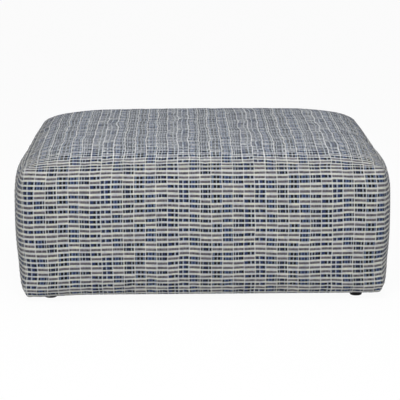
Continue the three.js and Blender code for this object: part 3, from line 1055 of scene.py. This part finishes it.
def cloudy_material(name, roughness, low, high, scale, bump, **sockets):
    """A plain finish whose colour drifts between two shades, over a fine grain."""
    m = Surface(name, roughness, **sockets)
    place = m.node("TexCoord", output=3)
    clouds = m.noise(place, scale, 4, 0.6)
    grain = m.noise(place, scale * 14, 3, 0.7)
    colour = m.mix(m.range(clouds, 0.3, 0.7), rgb(*low), rgb(*high))
    return m.finish(colour, grain, bump, 0.7)


def wood_material(name, along, low, high, plies=None):
    """Sawn wood with its grain along one axis; plies is the axis that a board's layers stack on."""
    m = Surface(name, 0.72, Specular_IOR_Level=0.3)
    place = m.separate(m.node("TexCoord", output=3))

    def grain(scales, detail, rough):
        stretched = [m.times(place[k], scales[k != along]) for k in range(3)]
        return m.noise(m.vector(*stretched), 1.0, detail, rough)

    rings, fibres = grain(GRAIN_SCALE, 3, 0.55), grain(FIBRE_SCALE, 2, 0.6)
    bands = m.math("PINGPONG", m.times(rings, 9), 1.0)
    colour = m.mix(m.range(bands, 0.1, 0.9), rgb(*low), rgb(*high))
    colour = m.mix(m.range(fibres, 0.35, 0.7, 0, 0.35), colour, rgb(*(0.75 * c for c in low)))
    if plies is not None:
        layer = m.math("FRACT", m.math("DIVIDE", place[plies], 2 * PLY))
        dark = m.math("LESS_THAN", layer, 0.5)
        normal = m.separate(m.node("NewGeometry", output=1))
        on_edge = m.math("LESS_THAN", m.math("ABSOLUTE", normal[plies]), 0.5)
        dark_edge = m.times(m.times(dark, on_edge), 0.55)
        colour = m.mix(dark_edge, colour, rgb(112, 78, 46))
    return m.finish(colour, fibres, 0.2 * MM, 0.5)


def paint_nodes(material, kinds, places):
    """Gives the CAD's pieces of these kinds at these places a material."""
    for name in (f"{kind}_{place}" for kind in kinds for place in places):
        slots = frame["nodes"][name].data.materials
        slots.clear()
        slots.append(material)


def paint_frame(steel):
    """The wood of rails, boards, posts and blocks, each along its own grain, and the screws."""
    pale, tan = ((158, 120, 78), (190, 154, 108)), ((190, 156, 110), (212, 182, 138))
    for along, sides in ((0, ("front", "back")), (1, ("right", "left"))):
        timber = wood_material(f"timber_{sides[0]}", along, *pale)
        paint_nodes(timber, ["top_rail", "base_rail"], sides)
        if along == 1:
            paint_nodes(timber, ["top", "base"], ["cross_rail"])
        board = wood_material(f"plywood_{sides[0]}", along, *tan, plies=1 - along)
        paint_nodes(board, ["side_board"], sides)
    upright = wood_material("timber_upright", 2, *pale)
    paint_nodes(upright, ["corner_post"], CORNERS)
    flat_board = wood_material("plywood_flat", 0, *tan, plies=2)
    paint_nodes(flat_board, ["seat"], ["deck"])
    block = wood_material("timber_block", 0, *pale)
    paint_nodes(block, ["corner_block"], CORNERS)
    paint_nodes(steel, ["glide_screw"], CORNERS)


def fill_and_frame():
    """Everything under the cover: fillings, wooden frame, lining, glides and screws."""
    foam = cloudy_material("quick_dry_foam", 0.95, (214, 206, 176), (228, 221, 194), 30, 0.5 * MM)
    fibre = cloudy_material(
        "fibre_wrap", 1.0, (232, 232, 230), (244, 244, 242), 24, 0.8 * MM, Sheen_Weight=0.3,
    )
    lining = cloudy_material("dust_sheet", 0.95, (24, 24, 26), (36, 36, 38), 60, 0.15 * MM)
    plastic = cloudy_material(
        "glide_plastic", 0.42, (7, 7, 8), (10, 10, 11), 80, 0.02 * MM, Specular_IOR_Level=0.12,
    )
    steel = cloudy_material(
        "screw_steel", 0.32, (176, 178, 182), (196, 198, 202), 120, 0.02 * MM, Metallic=1.0,
    )
    paint_frame(steel)
    deck_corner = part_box("seat_deck")[1]
    fibre_quilt(fibre)
    seat_block(foam, deck_corner.z)
    for wall in WALLS:
        side_pad(wall, foam, deck_corner.xy, deck_corner.z)
    places = [glide(corner, plastic) for corner in CORNERS]
    dust_sheet(lining, steel, places[2])


def place_camera():
    """The photograph's view, as fitted to the block's outline."""
    focal_pixels, picture_width, sensor = 1844.9, 400, 36
    eye = Vector((-0.0723, -5.9869, 1.3875))
    pitch, yaw, roll = (math.radians(angle) for angle in (11.107, 0.653, -0.291))
    view = Matrix.Translation(eye)
    for angle, axis in ((-yaw, "Z"), (math.pi / 2 - pitch, "X"), (roll, "Z")):
        view = view @ Matrix.Rotation(angle, 4, axis)
    data = bpy.data.cameras.new("camera")
    data.sensor_width = sensor
    data.lens = focal_pixels / picture_width * sensor
    camera = add_object("camera", data)
    camera.matrix_world = view
    bpy.context.scene.camera = camera


def add_lamp(name, place, size, power):
    data = bpy.data.lights.new(name, "AREA")
    data.shape = "RECTANGLE"
    data.size, data.size_y = size
    data.energy = power
    lamp = add_object(name, data)
    lamp.location = place
    lamp.rotation_euler = (LAMP_AIM - Vector(place)).to_track_quat("-Z", "Y").to_euler()


def light_scene():
    """A white studio: a key lamp above the front, one overhead, and a weak one from the right."""
    scene = bpy.context.scene
    scene.view_settings.view_transform = "Standard"
    scene.world = bpy.data.worlds.new("studio")
    m = Nodes(scene.world)
    sky = m.tree.nodes["Background"].inputs
    sky["Color"].default_value = (1, 1, 1, 1)
    light = m.node("MapRange", inputs={0: m.seen_directly(), 3: WORLD_LIGHT, 4: 1})
    m.put(light, sky["Strength"])
    add_lamp("key", (-0.35, -3.2, 3.0), (2.2, 1.6), 119)
    add_lamp("overhead", (0.2, 0.3, 3.4), (2.6, 2.6), 26)
    add_lamp("fill", (3.2, -1.6, 1.6), (1.6, 1.6), 8)


def floor():
    """A plain pale floor that shows the block's shadow softly."""
    m = Surface("floor", 0.9)
    m.shader.inputs["Base Color"].default_value = rgb(246, 246, 246)
    share = m.times(m.seen_directly(), FLOOR_WHITE)
    mixed = {0: share, 1: m.shader.outputs[0], 2: m.node("Emission")}
    m.put(m.node("MixShader", inputs=mixed), m.tree.nodes["Material Output"].inputs[0])
    points = np.array([(-1, -1, 0), (1, -1, 0), (1, 1, 0), (-1, 1, 0)]) * FLOOR_HALF
    ground = make_object("floor", points, np.array([[0, 1, 2, 3]]), m.material)
    ground.location.z = -FLOOR_DROP


place_camera()
light_scene()
floor()
settle_cover()
weave = weave_material()
for each in [SEAT] + WALLS:
    cover_panel(each, weave)
fill_and_frame()
